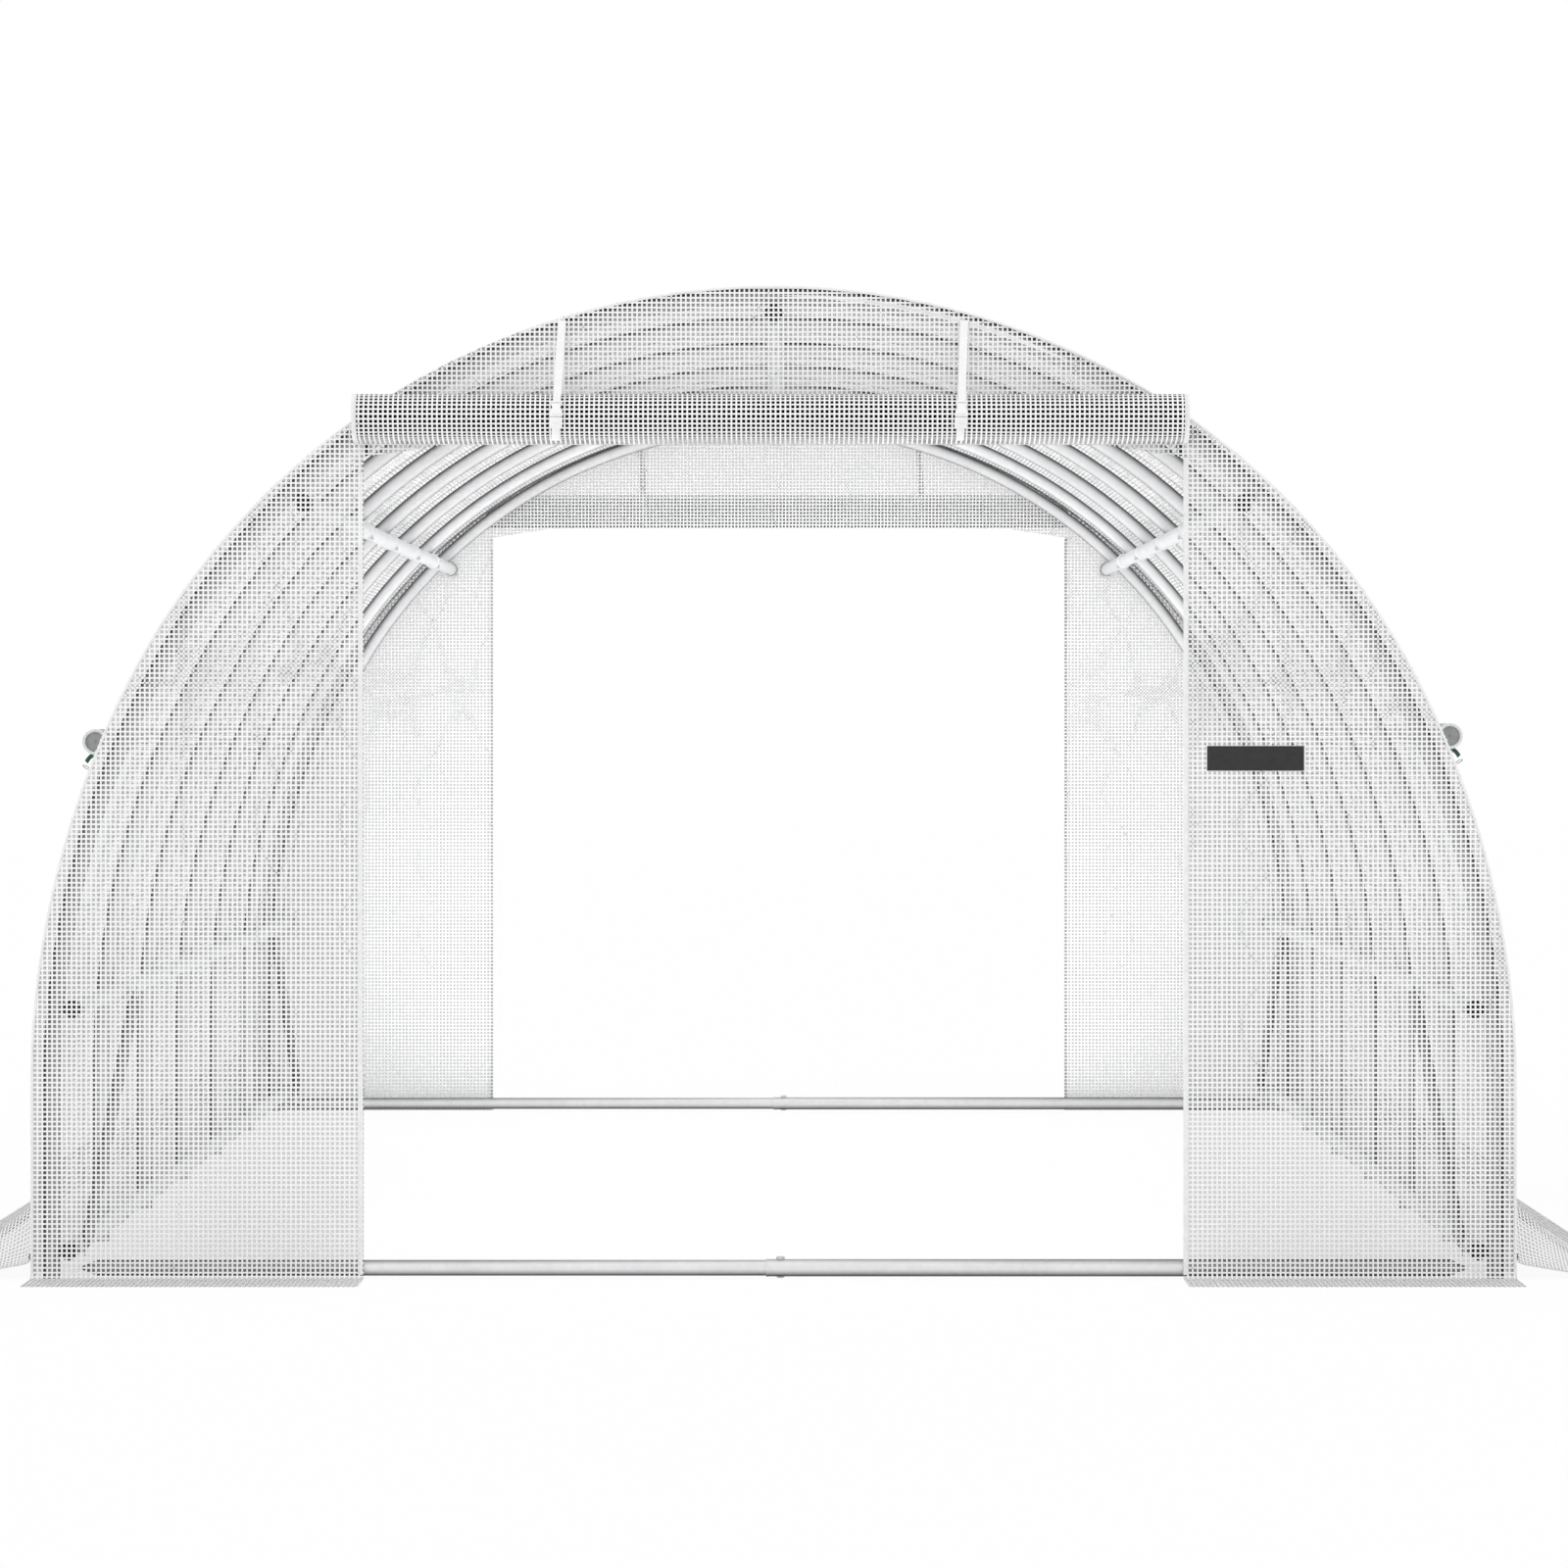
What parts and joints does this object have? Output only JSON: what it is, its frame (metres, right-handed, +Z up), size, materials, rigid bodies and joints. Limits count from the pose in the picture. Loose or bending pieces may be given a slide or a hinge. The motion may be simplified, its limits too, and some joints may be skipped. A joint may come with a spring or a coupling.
{
  "type": "polytunnel greenhouse",
  "caption": "Walk-in polytunnel greenhouse: steel hoops and purlins under a grid-reinforced film cover, with rolled-up doors at both ends and rolled side windows.",
  "frame": {"origin": "on the ground, under the middle of the tunnel", "axes": "+Z up, +Y along the tunnel from the front door to the rear door, +X to the right seen from the front"},
  "size_m": [3.5, 6.4, 2.007],
  "materials": {
    "galvanised_tube": "zinc-coated, satin",
    "black_cap": "matte",
    "grid_film": "woven grid between clear films",
    "window_net": "fine insect net",
    "rolled_film": "rolled grid film",
    "green_ribbon": "woven ribbon",
    "white_webbing": "woven tape",
    "white_plastic": "moulded, satin",
    "black_patch": "woven patch, plain",
    "skirt_film": "woven grid between clear films"
  },
  "bodies": {
    "root": {"hoop_1": "galvanised_tube", "hoop_2": "galvanised_tube", "hoop_3": "galvanised_tube", "hoop_4": "galvanised_tube", "hoop_5": "galvanised_tube", "hoop_6": "galvanised_tube", "hoop_7": "galvanised_tube", "ridge_purlin": "galvanised_tube", "left_shoulder_purlin": "galvanised_tube", "right_shoulder_purlin": "galvanised_tube", "left_waist_purlin": "galvanised_tube", "right_waist_purlin": "galvanised_tube", "left_base_rail": "galvanised_tube", "right_base_rail": "galvanised_tube", "front_sill_tube": "galvanised_tube", "rear_sill_tube": "galvanised_tube", "front_left_brace": "galvanised_tube", "front_right_brace": "galvanised_tube", "rear_left_brace": "galvanised_tube", "rear_right_brace": "galvanised_tube", "purlin_end_caps": "black_cap", "roof_cover": "grid_film", "left_side_cover": "grid_film", "right_side_cover": "grid_film", "left_window_nets": "window_net", "right_window_nets": "window_net", "left_window_rolls": "rolled_film", "right_window_rolls": "rolled_film", "window_ties": "green_ribbon", "front_panel_left": "grid_film", "front_panel_right": "grid_film", "front_panel_top": "grid_film", "rear_panel_left": "grid_film", "rear_panel_right": "grid_film", "rear_panel_top": "grid_film", "front_door_roll": "rolled_film", "rear_door_roll": "rolled_film", "roll_straps": "white_webbing", "strap_buckles": "white_plastic", "door_zips": "white_webbing", "sewn_patch": "black_patch", "left_side_skirt": "skirt_film", "right_side_skirt": "skirt_film", "front_skirts": "skirt_film", "rear_skirts": "skirt_film"}
  },
  "joints": []
}
